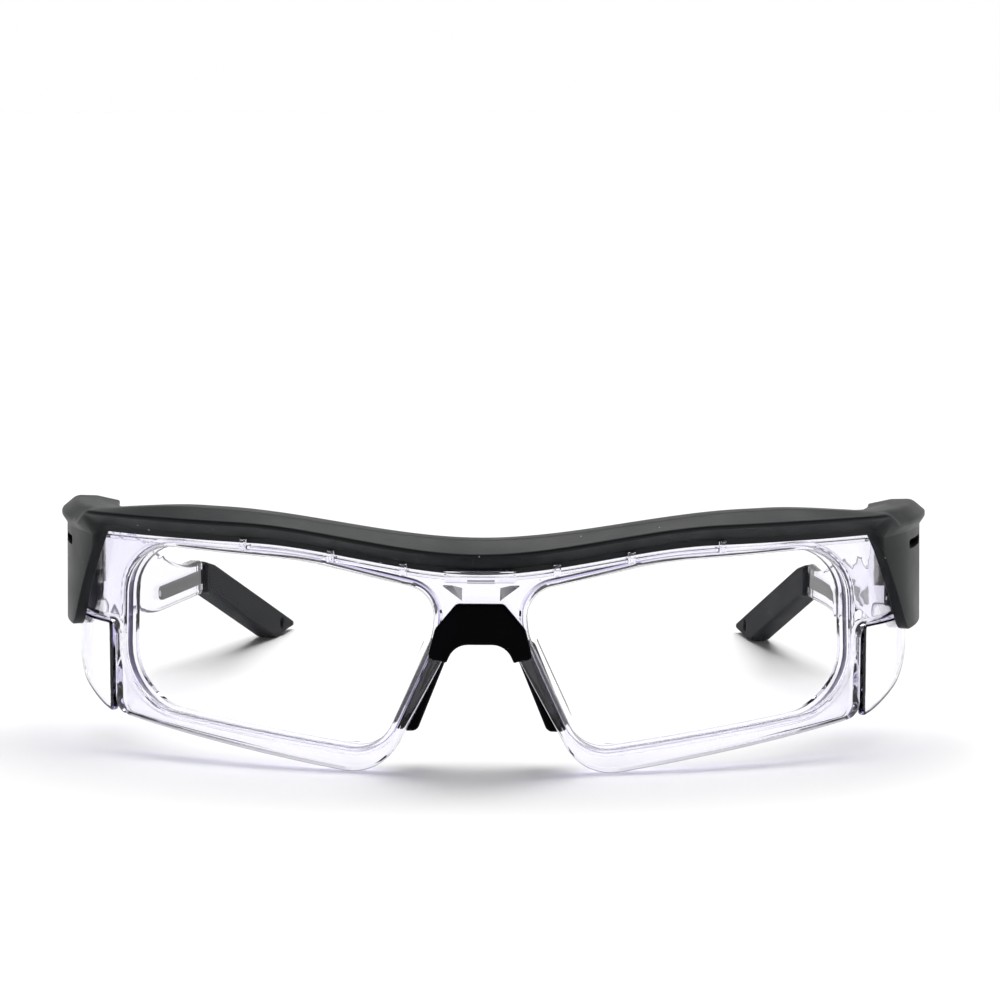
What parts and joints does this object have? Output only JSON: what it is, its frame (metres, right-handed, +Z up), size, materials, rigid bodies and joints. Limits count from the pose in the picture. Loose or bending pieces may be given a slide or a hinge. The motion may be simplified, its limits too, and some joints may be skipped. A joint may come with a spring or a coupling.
{
  "type": "wrap-around safety spectacles",
  "caption": "Clear wrap-around safety spectacles with a rubber brow guard, nose piece, side shields and folding temples with black tips that have cord holes.",
  "frame": {"origin": "middle of the footprint, on the surface that the open spectacles lie on", "axes": "+X towards the wearer's left, +Y from the lenses back to the ears, +Z up"},
  "size_m": [0.1514, 0.1586, 0.0429],
  "materials": {
    "clear_frame": "polished clear polycarbonate, faint violet tint at the edges",
    "clear_lens": "polished clear polycarbonate",
    "clear_temple": "polished clear polycarbonate, faint violet tint at the edges",
    "guard_rubber": "satin moulded rubber with fine grain",
    "nose_rubber": "matt moulded rubber",
    "tip_rubber": "satin moulded rubber",
    "core_steel": "drawn wire",
    "hinge_metal": "satin nickel silver",
    "screw_steel": "turned steel",
    "rivet_steel": "turned steel, dulled"
  },
  "bodies": {
    "front": {"front_frame": "clear_frame", "lens_left": "clear_lens", "lens_right": "clear_lens", "side_shield_left": "clear_frame", "side_shield_right": "clear_frame", "brow_guard": "guard_rubber", "nose_piece": "nose_rubber", "front_hinge_left": "hinge_metal", "hinge_screw_left": "screw_steel", "front_rivets_left": "rivet_steel", "front_hinge_right": "hinge_metal", "hinge_screw_right": "screw_steel", "front_rivets_right": "rivet_steel"},
    "left_arm": {"temple_left": "clear_temple", "temple_tip_left": "tip_rubber", "core_wire_left": "core_steel", "temple_hinge_left": "hinge_metal", "temple_rivets_left": "rivet_steel"},
    "right_arm": {"temple_right": "clear_temple", "temple_tip_right": "tip_rubber", "core_wire_right": "core_steel", "temple_hinge_right": "hinge_metal", "temple_rivets_right": "rivet_steel"}
  },
  "joints": [
    {"name": "left_fold", "type": "hinge", "parent": "front", "child": "left_arm", "pos_m": [0.06782, -0.03184, 0.031], "axis": [0, 0, 1], "range_deg": [0, 80]},
    {"name": "right_fold", "type": "hinge", "parent": "front", "child": "right_arm", "pos_m": [-0.06782, -0.03184, 0.031], "axis": [0, 0, -1], "range_deg": [0, 73]}
  ]
}
